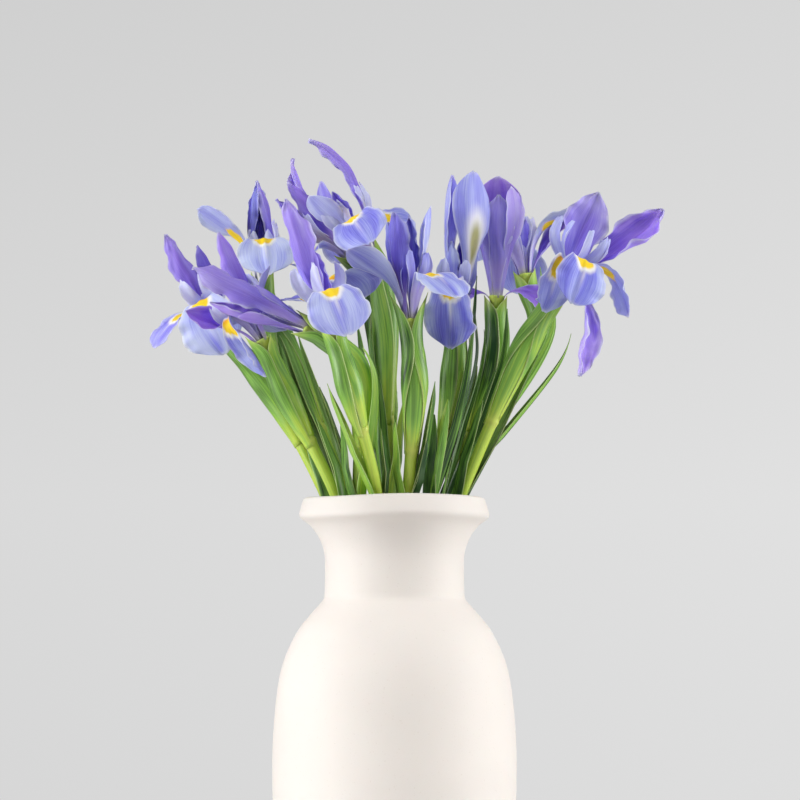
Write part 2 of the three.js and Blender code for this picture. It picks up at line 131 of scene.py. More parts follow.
# Where each iris stands and how its petals lie. top is the end of the stem, rim is where the stem passes the
# mouth, and the bloom leans by lean degrees in the compass direction toward. stalk is the lean of the stem's
# end, joint is how far under it the spathe starts, and valves is how far the spathe's tips reach past it. A
# leaf is its length, direction and flare, then its breadth where that isn't 1, and how dark it is where that
# isn't drawn at random. A fall or standard is a Petal. styles gives the turn and opening of the style arms
# where they aren't their falls' own, and arms is how deep their colour is and how much of it is the crests'.
IRISES = [
    dict(
        top=(-98, 14, 383), lean=28, toward=182, stalk=40, rim=(-41, 4), joint=72,
        leaves=[(112, 60, 5), (52, 300, 2)],
        falls=[
            (-80, 0.64, 0.86, 0.28, 0.2, 24, -28), (-12, 1.14, 1.12, -0.04, 0.05), (160, 0.8, 0.7, 0.4, 0.1),
        ],
        standards=[
            (-24, 0.02, 1.08, 0.62, 0.6, 0, 50, 0.3), (62, 0, 0.86, 0.85, 0.3),
            (-150, 0.12, 0.95, 0.7, 0.3, 14),
        ],
    ),
    dict(
        top=(-76, -18, 376), lean=30, toward=184, stalk=24, rim=(-35, -17), joint=60,
        leaves=[(116, 20, 4), (62, 350, 2, 0.85, 0.85)], valves=(8, 14),
        falls=[(-20, 2, 1.2, 0.25, 0.05, -190, 60, 1.6), (80, 0.3, 0.7, 0.3, 0.2), (150, 0.9, 0.8, 0.3, 0.1)],
        standards=[
            (-50, 1.42, 0.78, 0.72, 0.8, 0, -110, -0.4), (50, 0.05, 1.06, 0.62, 0.7),
            (160, 0.2, 0.8, 0.6, 0.4),
        ],
    ),
    dict(
        top=(-45, -56, 384), lean=65, toward=182, stalk=48, rim=(-21, -30), joint=78,
        leaves=[(100, 330, 4), (66, 190, 4)],
        falls=[(-70, 0.08, 0.62, 0.5, 0.8), (75, 0.05, 0.6, 0.5, 0.5), (180, 0.05, 0.6, 0.5, 0.5)],
        standards=[
            (12, 0.06, 1.16, 0.46, 0.6, 0, 0, 0.3), (120, 0, 0.72, 0.6, 0.5), (-110, 0.05, 0.9, 0.5, 0.8),
        ],
    ),
    dict(
        top=(-80, 38, 416), lean=4, toward=190, stalk=22, rim=(-29, 18), joint=92,
        leaves=[(124, 40, 6), (76, 220, 4), (88, 20, 3, 0.6, 0.7)], styles=[(6, 0.25), (-88, 0.3), (84, 0.6)],
        falls=[
            (6, 0.9, 1.04, -0.08, 0), (-88, 0.32, 0.94, 0.22, 0, 0, 30, -0.3, 1),
            (84, 0.7, 0.44, 0.3, 0.1, 0, 0, 0, 1),
        ],
        standards=[
            (180, -0.1, 0.98, 0, 0.1, -8), (98, -0.2, 0.98, 0.6, 0.4, -14, 0, -0.2),
            (-98, -0.25, 0.96, 0.86, 0, -14),
        ],
    ),
    dict(
        top=(-23, 56, 436), lean=42, toward=180, stalk=22, rim=(-9, 31), joint=84,
        leaves=[(130, 200, 6), (82, 340, 3), (110, 250, 3, 0.5, 0.95)],
        falls=[(-50, 0.7, 0.64, 0.35, 0.1), (172, 0.9, 0.85, 0.4, 0.1), (60, 0.15, 0.75, 0.5, 0.3)],
        standards=[
            (4, 0.1, 0.9, 0.62, 0.6, 0, 0, 0.2), (130, -0.85, 1.15, 0.55, 0.65, 90, 0, 1.2),
            (-125, 0.1, 0.9, 0.6, 0.4, 0, 0, 0.3),
        ],
    ),
    dict(
        top=(-33, -78, 375), lean=16, toward=185, rim=(-10, -38), joint=54,
        leaves=[(96, 180, 4), (58, 20, 3, 0.7, 0.8)], styles=[(-26, 1), (140, 0.8), (-150, 0.5)],
        falls=[(10, 1, 1.06, 0.12, 0.04), (160, 0.72, 1.3, 0.42, 0), (-150, 0.5, 0.8, 0.3, 0.1)],
        standards=[
            (-24, 0.04, 1.26, 0.56, 0.6, 0, 0, 0.3), (175, 0, 0.8, 0.45, 0.6),
            (-130, 0.02, 0.92, 0.55, 0.4, 0, 0, 0.3),
        ],
    ),
    dict(
        top=(-10, 18, 432), lean=33, toward=195, stalk=8, rim=(-4, 10), joint=96,
        leaves=[(130, 80, 5), (92, 240, 5), (70, 330, 3), (92, 186, 12, 0.8, 0.95), (124, 205, 3, 0.6, 0.8)],
        styles=[(-32, 0.8), (-62, 0.3), (70, 0.95)],
        falls=[
            (0, 0.8, 1.05, 0.32, 0.06), (-50, 0.12, 0.82, 0.1, 0.1, 0, 0, -0.4),
            (95, 0.8, 0.62, 0.2, 0, 0, 60, 0, 1),
        ],
        standards=[
            (80, 0.36, 1.26, 0.5, 0.6, -50, 0, 3), (-90, 0.1, 0.75, 0.2, 0.2), (180, 0, 0.7, 0.6, 0.4),
        ],
    ),
    dict(
        top=(10, -56, 384), lean=4, toward=180, rim=(8, -34), joint=70,
        leaves=[(84, 10, 4), (60, 190, 3), (104, 60, 2, 0.4), (52, 330, 2, 0.6, 0.9)], valves=(23, 25),
        arms=(0.55, 0.1),
        falls=[(34, 0.8, 1, 0.2, 0), (-66, 0.32, 0.88, 0.2, 0, 10, 25, -0.2), (96, 0.06, 1.05, 0.2, 0)],
        standards=[
            (-42, -0.12, 0.98, 0.84, 0.15, 0, 0, -0.3), (-118, 0, 0.92, 0.85, 0), (160, 0, 0.98, 0.6, 0.1),
        ],
    ),
    dict(
        top=(37, -28, 388), lean=4, toward=0, rim=(22, -15), joint=62, arms=(0.14, 0.2),
        leaves=[
            (118, 320, 5, 0.8), (64, 230, 4), (148, 350, 2, 0.36), (74, 262, 1, 0.8, 0.6),
            (96, 30, 2, 0.42, 1),
        ],
        falls=[
            (-10, 2, 1.22, 0.34, 0, -170, 0, 0.8), (42, 0, 1.37, 0.36, 0, -12),
            (-105, 0.02, 1.33, 0.34, 0.1, -12),
        ],
        standards=[(180, 0, 0.75, 0.7, 0.1), (120, 0, 0.7, 0.4, 0), (-50, 0, 0.7, 0.4, 0)],
    ),
    dict(
        top=(61, -2, 403), lean=1, toward=0, rim=(33, 4), joint=74, valves=(8, 8),
        leaves=[
            (132, 300, 5, 0.8), (96, 150, 3), (120, 220, 2, 0.36), (134, 190, 5, 0.26, 1.1),
            (118, 176, 9, 0.24, 1),
        ],
        falls=[
            (-70, 0.12, 1.06, 0.34, 0.6, -30, 0, -0.6), (68, 0.1, 1.04, 0.3, 0.7, -30, 0, -0.6),
            (180, 0, 1.15, 0.3, 0.8, -16, 0, -0.3),
        ],
        standards=[
            (2, 0, 0.94, 0.26, 0.5, 0, 0, -1.2), (84, 3.3, 0.54, 0.4, 0.95, 0, 120, -1.5),
            (-84, 3.2, 0.36, 0.4, 0.95, 0, -120, -1.5),
        ],
    ),
    dict(
        top=(94, -25, 405), lean=25, toward=0, stalk=31, rim=(40, -11), joint=80,
        leaves=[(112, 30, 3, 0.8), (74, 200, 3), (96, 200, 3, 0.4, 1)], valves=(10, 8), arms=(0.24, 0.15),
        styles=[(-56, 1), (40, 0.9), (100, 0.9)],
        falls=[
            (18, 1.02, 0.98, 0.34, 0, 0, 0, 0.15), (-10, 2.1, 1, 0.2, 0, -180, -60, 0.8),
            (80, 0.86, 0.96, 0.3, 0, 0, -25, 0, 1),
        ],
        standards=[
            (-172, 0.16, 1.04, 0.31, 0.5, 0, 0, -2.2), (108, 0.72, 1.24, 0.55, 0.7, 0, 60),
            (48, 4.7, 1.06, 0.12, 0.75, 10, 0, 0.8),
        ],
    ),
    dict(
        top=(82, 54, 422), lean=12, toward=140, stalk=20, rim=(30, 24), joint=92,
        leaves=[(176, 300, 10, 0.6), (140, 20, 12, 0.7), (104, 230, 4, 0.45, 0.9)], valves=(11, 11),
        falls=[(76, 0.54, 1.08, 0.15, 0, 30, 0, 0, 0.7), (-30, 0.85, 1, 0.2, 0), (180, 0.95, 0.95, 0.3, 0)],
        standards=[(96, 1.2, 0.66, 0.5, 0.5, 0, 60), (-110, 0.1, 0.6, 0.4, 0.3), (140, 0.1, 0.6, 0.5, 0.3)],
    ),
]

# A petal's turn round the bloom's axis, its opening (0 closed, 1 open, and a few go further), its size, and
# how deep (0 pale, 1 indigo) and how warm (0 blue, 1 mauve) its colour is. Then how many degrees its tip
# leans further and turns about its midrib, how much more it is rolled up, and how much of a fall's signal
# shows through on its back.
Petal = namedtuple("Petal", "turn opening size deep warm hook twist roll shown", defaults=(0, 0, 0, 0))

# The stage, in metres, degrees and watts. A lamp is its name, place, breadth, power and colour.
FLOOR_RADIUS = 1.6
LAMPS = (
    ("key_left", (-1.85, -0.66, 0.62), 1.1, 36.6, (1.0, 1.0, 1.0)),
    ("fill_right", (1.95, -0.3, 0.55), 1.1, 34, (1.0, 1.0, 1.0)),
    ("top_soft", (0.0, -0.98, 1.88), 1.2, 17.8, (1.0, 0.99, 0.97)),
)
LAMPS_AIM = (0, 0, 0.3)
CAMERA_PLACE = (0.0033, -2.18, 0.198)
CAMERA_TILT = 90 + 3.94
# In mm, for a sensor 36 mm wide
CAMERA_LENS = 163.5


def linear(hexcode):
    """The linear colour of an sRGB hex value."""
    parts = [int(hexcode[i : i + 2], 16) / 255 for i in (1, 3, 5)]
    return tuple(c / 12.92 if c <= 0.04045 else ((c + 0.055) / 1.055) ** 2.4 for c in parts)


def colour(text, name):
    """A property that holds a colour, given as an sRGB hex value."""
    about = f"Colour of the {name.lower()}"
    return FloatVectorProperty(
        name=name, description=about, subtype="COLOR", size=3, min=0, max=1, default=linear(text)
    )


def length(value, least, name, about):
    """A property that holds a length, given in mm."""
    return FloatProperty(name=name, description=about, default=value * MM, min=least * MM, unit="LENGTH")


class IrisPetalColours(bpy.types.PropertyGroup):
    """Colours of the blooms."""

    pale: colour("#B2BDF7", "Palest petals")
    # Painted highlight: the lightest tone of the pale petals stands for light on their ridges
    painted_ridge_highlight: colour("#C0CAFA", "Lit ridges of pale petals")
    middle: colour("#7A7EE2", "Middling petals")
    indigo: colour("#3529B6", "Deepest petals")
    mauve: colour("#A270F0", "Warm violet flush")
    margin: colour("#DFE2FC", "Petal margins")
    signal: colour("#FFD21E", "Signal on the falls")
    signal_heart: colour("#F7A50C", "Heart of the signal")
    halo: colour("#F7F5F2", "White round the signal")
    khaki: colour("#9C9A4A", "Streak behind the signal")
    haft: colour("#C2A6DA", "Narrow root of the petals")
    throat: colour("#B9BE52", "Green foot of the petals")
    crest: colour("#D0CFF8", "Style arms and crests")


class IrisGreenColours(bpy.types.PropertyGroup):
    """Colours of stems, spathes and leaves."""

    leaf: colour("#84B84A", "Leaf blades")
    leaf_dark: colour("#15400F", "Darkest leaves")
    bloom_wax: colour("#9DBE8C", "Grey wax on the leaves")
    edge: colour("#DDE8A6", "Leaf margins")
    stalk: colour("#C0D94F", "Bare stalk")
    joint: colour("#CBD268", "Joints of the stalk")


class IrisVaseSettings(bpy.types.PropertyGroup):
    """Sizes of the fine forms and the colours of the vase."""

    petal_thickness: length(0.5, 0.1, "Petal thickness", "At the middle of a petal")
    ruffle: length(1.5, 0, "Ruffle", "How far the margins of the falls wave")
    wobble: length(0.5, 0, "Hand-thrown wobble", "How far the rim is from round")
    glaze: colour("#E9E3DD", "Glaze")
    clay: colour("#D2C8BD", "Clay that shows through the glaze")


# Small helpers on numbers and points


def curve(a, b, start, end, t):
    """Smoothly from a to b, with the slopes start and end."""
    return (
        (2 * t**3 - 3 * t**2 + 1) * a
        + (t**3 - 2 * t**2 + t) * start
        + (-2 * t**3 + 3 * t**2) * b
        + (t**3 - t**2) * end
    )


def along(table, s):
    """Value of a table at s, on a smooth curve through its points."""
    x, y = np.array(table, float).T
    s = np.asarray(s, float)
    last = len(x) - 1
    i = np.clip(np.searchsorted(x, s, side="left") - 1, 0, last - 1)
    before = np.maximum(i - 1, 0)
    after = np.minimum(i + 2, last)
    span = x[i + 1] - x[i]
    start = (y[i + 1] - y[before]) / (x[i + 1] - x[before])
    end = (y[after] - y[i]) / (x[after] - x[i])
    return curve(y[i], y[i + 1], span * start, span * end, np.clip((s - x[i]) / span, 0, 1))


def ease(low, high, x):
    """0 below low, 1 above high and smooth between."""
    t = np.clip((np.asarray(x, float) - low) / (high - low), 0, 1)
    return t * t * (3 - 2 * t)


def wane(low, high, x):
    """1 below low, 0 above high and smooth between, as the opposite of ease."""
    return 1 - ease(low, high, x)


def hump(x, width):
    """1 where x is 0, falling smoothly to nothing some widths away."""
    return np.exp(-((x / width) ** 2))


def mix(a, b, t):
    """From a where t is 0 to b where t is 1."""
    return a + (b - a) * t


def unit(v):
    """Directions, made 1 long."""
    return v / np.linalg.norm(v, axis=-1, keepdims=True)


def compass(degrees):
    """A level direction: 0 right, 90 back, 180 left and 270 front."""
    return np.array([math.cos(math.radians(degrees)), math.sin(math.radians(degrees)), 0.0])


def angles(sides):
    """Even steps round a full turn, in radians."""
    return np.linspace(0, math.tau, sides, endpoint=False)


def drift(rng, x, y, waves, finest):
    """A smooth random field between about -1 and 1, as a sum of seeded waves."""
    total = np.zeros(np.broadcast(x, y).shape)
    for _ in range(waves):
        a, b = rng.uniform(-finest, finest), rng.uniform(-finest, finest)
        total += np.sin(math.tau * (a * x + b * y) + rng.uniform(0, math.tau))
    return total / waves**0.5 / 1.2


def place(name, data):
    """A new object in the scene."""
    made = bpy.data.objects.new(name, data)
    bpy.context.scene.collection.objects.link(made)
    return made


class Body:
    """Points, faces and per-point values of one object, gathered from several closed forms."""

    def __init__(self):
        self.points, self.faces, self.values, self.count = [], [], {}, 0

    def add(self, points, faces, values):
        """Adds one closed form, with the named values of its points."""
        points = points.reshape(-1, 3)
        self.points.append(points)
        self.faces += [tuple(int(i) + self.count for i in face) for face in faces]
        for name, value in values.items():
            self.values.setdefault(name, []).append(np.ravel(value))
        self.count += len(points)

    def sheet(self, surface, normal, relief, thickness, values):
        """A thin closed form on a grid of points, raised by relief. A pair of values is for its two faces."""
        surface = surface + normal * relief[..., None]
        shape = surface.shape[:2]
        half = (thickness / 2)[..., None] * normal
        inner = np.arange(math.prod(shape)).reshape(shape)
        outer = inner + inner.size
        faces = []
        for side, step in ((inner, 1), (outer, -1)):
            corners = np.stack([side[:-1, :-1], side[:-1, 1:], side[1:, 1:], side[1:, :-1]], -1)
            faces += [tuple(corner)[::step] for corner in corners.reshape(-1, 4)]
        loop = [*inner[0, :-1], *inner[:-1, -1], *inner[-1, :0:-1], *inner[:0:-1, 0]]
        faces += [(b, a, a + inner.size, b + inner.size) for a, b in zip(loop, loop[1:] + loop[:1])]
        both = {}
        for name, value in values.items():
            pair = value if isinstance(value, tuple) else (value, value)
            both[name] = [np.broadcast_to(side, shape) for side in pair]
        self.add(np.stack([surface + half, surface - half]), faces, both)

    def tube(self, rings, values):
        """A closed form skinned over rings of points."""
        count, sides = rings.shape[:2]
        faces = [tuple(range(sides))[::-1], tuple((count - 1) * sides + k for k in range(sides))]
        for i in range(count - 1):
            for k in range(sides):
                n = (k + 1) % sides
                faces.append((i * sides + k, i * sides + n, (i + 1) * sides + n, (i + 1) * sides + k))
        shape = (count, sides)
        self.add(rings, faces, {name: np.broadcast_to(value, shape) for name, value in values.items()})

    def object(self, name, material, slot, *nodes):
        """The gathered forms as one object in metres, which stands for the solids named."""
        mesh = bpy.data.meshes.new(name)
        mesh.from_pydata(np.concatenate(self.points) * MM, [], self.faces)
        for key, parts in self.values.items():
            flat = np.concatenate(parts).astype(np.float32)
            mesh.attributes.new(key, "FLOAT", "POINT").data.foreach_set("value", flat)
        mesh.polygons.foreach_set("use_smooth", [True] * len(mesh.polygons))
        mesh.materials.append(material)
        mesh.update()
        made = place(name, mesh)
        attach(made, "root")
        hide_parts(*nodes)


# Form of the vase


def vase_rings(wobble):
    """The vase from the middle of its foot up its outside, over the lip and down to its floor."""
    angle = angles(144)
    up = np.concatenate([np.linspace(1.5, 226, 74), np.linspace(228, 275, 34), np.linspace(276, 289, 22)])
    down = np.concatenate([np.linspace(289, 228, 30), np.linspace(224, VASE_FLOOR, 30)])
    profile = [(0.01, 0), (30, 0), *FOOT, *((along(OUTSIDE, h), h) for h in up)]
    profile += [*LIP, *((along(INSIDE, h), h) for h in down), (30, VASE_FLOOR), (0.01, VASE_FLOOR)]
    radius, height = np.array(profile, float).T
    near_rim = ease(262, 284, height)[:, None]
    uneven = wobble * (np.sin(2 * angle + 0.6) + 0.6 * np.sin(3 * angle + 2) + 0.3 * np.sin(5 * angle))
    r = radius[:, None] - near_rim * np.abs(uneven) * 0.6
    z = height[:, None] - near_rim * (uneven - uneven.min()) * 0.7
    return np.stack([r * np.cos(angle), r * np.sin(angle), z + 0 * angle], -1)


# Forms of the petals


def aim(iris, lean=None):
    """The direction a bloom faces, and the side that its petals are turned from."""
    angle = math.radians(iris["lean"] if lean is None else lean)
    axis = UP * math.cos(angle) + compass(iris["toward"]) * math.sin(angle)
    viewer = -DEPTH
    return axis, unit(viewer - axis * viewer.dot(axis))


def petal_line(form, row, root, axis, out):
    """The midrib of a petal, as a function that gives its points, directions and inner faces."""
    steps = 48

    def heading(s):
        lean = mix(along(form["closed"], s), along(form["open"], s), row.opening) + row.hook * s * s
        lean = np.radians(lean)[..., None]
        forward = axis * np.cos(lean) + out * np.sin(lean)
        inward = axis * np.sin(lean) - out * np.cos(lean)
        turn = np.radians(row.twist * s)[..., None]
        return forward, inward * np.cos(turn) + np.cross(forward, inward) * np.sin(turn)

    middles, _ = heading((np.arange(steps) + 0.5) / steps)
    points = np.concatenate([[root], root + np.cumsum(middles, 0) * row.size * form["length"] / steps])
    forward, inward = heading(np.arange(steps + 1) / steps)

    def read(s):
        at = np.clip(s, 0, 1) * steps
        i = np.minimum(at.astype(int), steps - 1)
        t = (at - i)[..., None]
        point, ahead, inner = (mix(a[i], a[i + 1], t) for a in (points, forward, inward))
        return point, unit(ahead), unit(inner)

    return read


def blade(read, form, s, v, size, shut=0.0):
    """Points, normals and half breadth of a curled blade, at s along it and v across."""
    point, forward, inward = read(s)
    side = np.cross(forward, inward)
    extra, narrow = form["shut"]
    width = size * mix(1, narrow, shut) * along(form["width"], s)
    curl = np.radians(along(form["curl"], s) + shut * extra * s)
    curl = np.where(np.abs(curl) < 1e-4, 1e-4, curl)
    across = (width * np.sin(curl * v) / curl)[..., None]
    rise = (width * (1 - np.cos(curl * v)) / curl)[..., None]
    turn = (curl * v)[..., None]
    return point + side * across + inward * rise, inward * np.cos(turn) - side * np.sin(turn), width


def petal(iris, form, row, s, v):
    """A blade that starts on the bloom's tube, rolled up where it hasn't opened and as its row says."""
    axis, viewer = aim(iris)
    side = np.cross(axis, viewer)
    turn = math.radians(row.turn)
    out = viewer * math.cos(turn) + side * math.sin(turn)
    height, radius = form["root"]
    root = np.array(iris["top"], float) + axis * GAP + axis * height + out * radius
    shut = max(0, 1 - row.opening) + row.roll
    return blade(petal_line(form, row, root, axis, out), form, s, v, row.size, shut)


def grid(rows, columns, crowd=1.0):
    """Rows from root to tip, closer at the tip where crowd is under 1, and columns closer at the margins."""
    angle = np.linspace(-1, 1, columns) * math.pi / 2 * 0.9
    return np.meshgrid(np.linspace(0, 1, rows) ** crowd, np.sin(angle) / math.sin(angle[-1]), indexing="ij")


def edge_wave(rng, s, v, coarse, fine, share):
    """A wave of two lengths along each margin, with a phase of its own on either side."""
    phase = np.where(v > 0, rng.uniform(0, 6.28), rng.uniform(0, 6.28))
    return np.sin(math.tau * s * coarse + phase) + share * np.sin(math.tau * s * fine + 2 * phase)


def thinned(thickness, s, margin, edge, power, tip):
    """The thickness of a sheet, which falls to the shares edge and tip of itself there."""
    return thickness * mix(1, edge, margin**power) * mix(1, tip, ease(0.9, 1, s))


def petal_paint(s, v, row, rng, haft, crest=0.0, fade=0.0):
    """The colour masks of a petal: how deep its shade is, and how much of each other colour lies over it."""
    margin = np.abs(v)
    light = 1 - 0.8 * row.deep
    depth = row.deep + 0.14 * wane(0, 0.6, margin) + 0.2 * drift(rng, v * 1.1, s * 1.5, 6, 1.6)
    depth = depth + fade * (0.55 - ease(0.35, 0.95, s) - 0.4 * ease(0.4, 1, margin))
    return {
        "depth": 0.16 + 0.84 * depth,
        # Veins are about 0.7 mm apart across a blade 34 mm wide and run from root to margin
        "vein_x": v * 25,
        "vein_y": s * 3,
        "vein_z": rng.uniform(0, 50),
        "flush": row.warm * mix(0.42, 0.85, ease(0.1, 0.9, s)),
        "crest": crest,
        "back": (0.0, 0.16 * light),
        "rim": 0.75 * light * np.maximum(ease(0.88, 1, margin), ease(0.96, 1, s)),
        "haft": haft * wane(0.26, 0.44, s),
        "foot": 0.5 * wane(0.02, 0.12, s),
    }


def signal_paint(s, v, signal, shown, closed):
    """The masks of the yellow signal inside a fall, and of the khaki streak on the back of a closed one."""
    away = np.hypot((s - 0.5) * 5, v * 2)
    # Past 0 and 1 a mask has no more effect, so its steep slope gives the signal a crisp margin
    spot = 0.5 - 5 * signal
    ring = 0.9 * wane(0.1, 0.55, signal)
    crease = 0.6 * hump(v, 0.07) * ease(0.5, 0.56, s) * wane(0.62, 0.9, s)
    return {
        "halo": (np.maximum(ring, crease), 0.8 * closed * wane(0.7, 1.5, away)),
        "signal": (spot, shown * np.maximum(0, spot)),
        "heart": (0.8 * wane(0.44, 0.5, s) * np.clip(spot, 0, 1), 0.0),
        "khaki": (0.0, 0.9 * closed * wane(0.4, 1, away)),
    }


def fall_sheet(body, iris, row, rng, settings):
    """A fall: a narrow haft that arches out, and a round hanging blade with a waved margin."""
    s, v = grid(62, 33, 0.85)
    margin = np.abs(v)
    # The tip is round, with a shallow notch at the midline and an uneven margin
    reach = 1 - 0.2 * (1 - np.sqrt(1 - 0.97 * v**2)) - 0.012 * hump(v, 0.1)
    reach += 0.008 * drift(rng, v, 0 * v, 5, 2.2)
    s = s * mix(1, reach, s**2)
    surface, normal, width = petal(iris, FALL, row, s, v)
    on_blade = ease(0.46, 0.62, s)
    spread = min(1, max(0.25, row.opening))
    wave = edge_wave(rng, s, v, 4.6, 8.3, 0.6)
    relief = settings.ruffle / MM * spread * on_blade * margin**3.2 * wave * 0.7
    # A sharp ridge on the midline, with a hollow beside it, and soft pleats that fan out
    relief += on_blade * spread * 0.8 * np.exp(-margin / 0.05) * wane(0.86, 1, s)
    relief -= on_blade * spread * 0.7 * hump(v - 0.16, 0.12) + 0.25 * on_blade * margin**2
    relief += 0.7 * on_blade * drift(rng, v * 0.6, s * 0.7, 6, 1.8) * ease(0, 0.3, margin)
    relief += 0.09 * on_blade * drift(rng, v * 4.4, s * 0.35, 8, 1.6)
    # A raised crest runs down the haft into the signal
    relief += 0.9 * hump(v, 0.22) * ease(0.2, 0.4, s) * wane(0.5, 0.6, s)
    # How far each point is outside the signal, an oval where the blade begins
    beyond = s - SIGNAL_PLACE
    x = width * v / SIGNAL_WIDTH
    y = beyond * FALL["length"] * row.size / mix(*SIGNAL_REACH, ease(-0.2, 0.2, beyond))
    signal = np.sqrt(x**2 + y**2) - 1 + 0.07 * drift(rng, v, s, 5, 4)
    # A fall that stays shut shows no signal inside, and a blue one has the khaki streak on its back
    signal += 9 * (row.opening < 0.2)
    closed = wane(0.02, 0.15, row.opening) * max(0, 1 - 2 * row.warm)
    paint = petal_paint(s, v, row, rng, 0.5 * min(1, 0.15 + row.opening), fade=0.75 * row.warm)
    paint |= signal_paint(s, v, signal, row.shown, closed)
    thickness = thinned(settings.petal_thickness / MM, s, margin, 0.35, 4, 0.4)
    body.sheet(surface, normal, relief * row.size, thickness, paint)


def standard_sheet(body, iris, row, rng, settings):
    """A standard: an upright channelled petal with a narrow root, a pointed tip and a waved margin."""
    s, v = grid(54, 23, 0.9)
    surface, normal, _ = petal(iris, STANDARD, row, s, v)
    margin = np.abs(v)
    # Its folds and veins sway a little
    v = v * (1 + 0.08 * ease(0.3, 0.6, s) * wane(0.9, 1, s) * drift(rng, np.sign(v), s * 2.2, 6, 2))
    upper = ease(0.28, 0.5, s)
    relief = 1.25 * upper * margin**3 * edge_wave(rng, s, v, 3.1, 7.3, 0.5) * wane(0.9, 1, s)
    # A deep channel on the midline and long silky pleats beside it
    relief -= 1.3 * np.exp(-np.abs(v) / 0.12) * upper * wane(0.82, 1, s)
    relief += 0.55 * upper * drift(rng, v * 0.8, s * 0.5, 6, 1.6)
    relief += 0.18 * upper * drift(rng, v * 3.4, s * 0.3, 8, 1.6)
    relief += 0.5 * upper * drift(rng, v * 1.1, s * 2.4, 8, 1.8)
    relief += 1.2 * ease(0.84, 1, s) * drift(rng, v * 0.4, s * 1.5, 4, 2)
    paint = petal_paint(s, v, row, rng, 0.3, fade=0.3 + 0.3 * row.warm)
    thickness = thinned(settings.petal_thickness / MM, s, margin, 0.35, 4, 0.4)
    body.sheet(surface, normal, relief * row.size, thickness, paint)


def style_sheet(body, iris, fall, turn, opening, rng, settings):
    """A style arm: it roofs the root of a fall and ends in two ragged crests that turn up."""
    deep, crest_tint = iris.get("arms", (fall.deep * 0.6, 0.5))
    row = Petal(turn, opening, mix(0.6, 1, min(1, opening)), deep, fall.warm)
    s, v = grid(36, 27)
    margin = np.abs(v)
    # The notch between the two round crests, and their frayed margins
    notch = 0.36 * hump(margin, 0.3) + 0.2 * margin**5
    fray = 0.03 * np.abs(np.sin(v * 15 + rng.uniform(0, 6))) + 0.025 * drift(rng, v, 0 * v, 6, 5)
    s = s * (1 - mix(notch * 0.75, notch, s) - fray * ease(0.75, 1, s))
    surface, normal, _ = petal(iris, STYLE_ARM, row, s, v)
    crest = ease(0.55, 0.9, s)
    relief = 1.3 * crest * np.sin(v * 7 + rng.uniform(0, 6)) * margin + 0.9 * crest * drift(rng, v, s, 5, 2)
    relief += 0.25 * crest * drift(rng, v * 3, s * 0.4, 8, 1.6)
    relief += 0.8 * hump(v, 0.25) * (1 - crest)
    thickness = thinned(settings.petal_thickness / MM, s, margin, 0.4, 3, 1)
    body.sheet(surface, normal, relief * row.size, thickness, petal_paint(s, v, row, rng, 0.3, crest_tint))


# Forms of the stems and leaves


class StemLine:
    """The middle line of a stem from the vase's floor to its bloom, a smooth curve above the water."""

    def __init__(self, iris):
        self.axis, _ = aim(iris)
        end, _ = aim(iris, iris.get("stalk", iris["lean"]))
        top = np.array(iris["top"], float)
        x, y = iris["rim"]
        p = [*(np.array([x * share, y * share, z]) for share, z in STEM_KNOTS), top - end * 30, top]
        p = [2 * p[0] - p[1], *p, 2 * p[-1] - p[-2]]
        fine = []
        t = np.linspace(0, 1, 60, endpoint=False)[:, None]
        for before, here, there, after in zip(p, p[1:], p[2:], p[3:]):
            a, b, c = (np.sum(step**2) ** 0.25 for step in (here - before, there - here, after - there))
            first = ((here - before) / a - (there - before) / (a + b) + (there - here) / b) * b
            second = ((there - here) / b - (after - here) / (b + c) + (after - there) / c) * b
            fine.append(curve(here, there, first, second, t))
        self.line = np.concatenate([*fine, [p[-2]]])
        steps = np.linalg.norm(np.diff(self.line, axis=0), axis=1)
        self.distance = np.concatenate([[0], np.cumsum(steps)])
        self.length = self.distance[-1]
        # It is straight to a little above the water, to run down the middle of the water's hole
        wet = self.distance < WATER_LEVEL
        straight = self.distance[wet, None] / WATER_LEVEL
        self.line[wet] = mix(self.line[0], self.point(WATER_LEVEL), straight)

    def point(self, d):
        """The point at a distance along the line."""
        return np.stack([np.interp(d, self.distance, self.line[:, k]) for k in range(3)], -1)

    def station(self, d):
        """Point, direction and two cross directions at a distance, straight on past the stem's end."""
        d = np.asarray(d, float)
        inside = np.clip(d, 0.5, self.length - 0.5)
        forward = unit(self.point(inside + 0.5) - self.point(inside - 0.5))
        at_end = ease(self.length - 12, self.length, d)[..., None]
        forward = unit(mix(forward, self.axis, at_end))
        beyond = np.maximum(0, d - self.length)[..., None]
        point = self.point(np.clip(d, 0, self.length)) + self.axis * beyond
        side = unit(np.cross(forward, DEPTH))
        return point, forward, side, np.cross(side, forward)


def green_paint(s, x, z, depth, rng, rim=0.0, joint=0.0, pale=0.0):
    """The colour masks of a green piece: how deep its shade is, and how much of each other colour it has."""
    return {
        "depth": depth + 0.1 * drift(rng, x * 0.1, s * 3, 5, 1.5),
        "vein_x": x,
        "vein_y": s * 2.5,
        "vein_z": z,
        "wax": 0.13 * ease(-0.4, 1, drift(rng, x * 0.06, s * 2.4, 5, 1.6)),
        "rim": rim,
        "pale": pale,
        "joint": joint,
    }


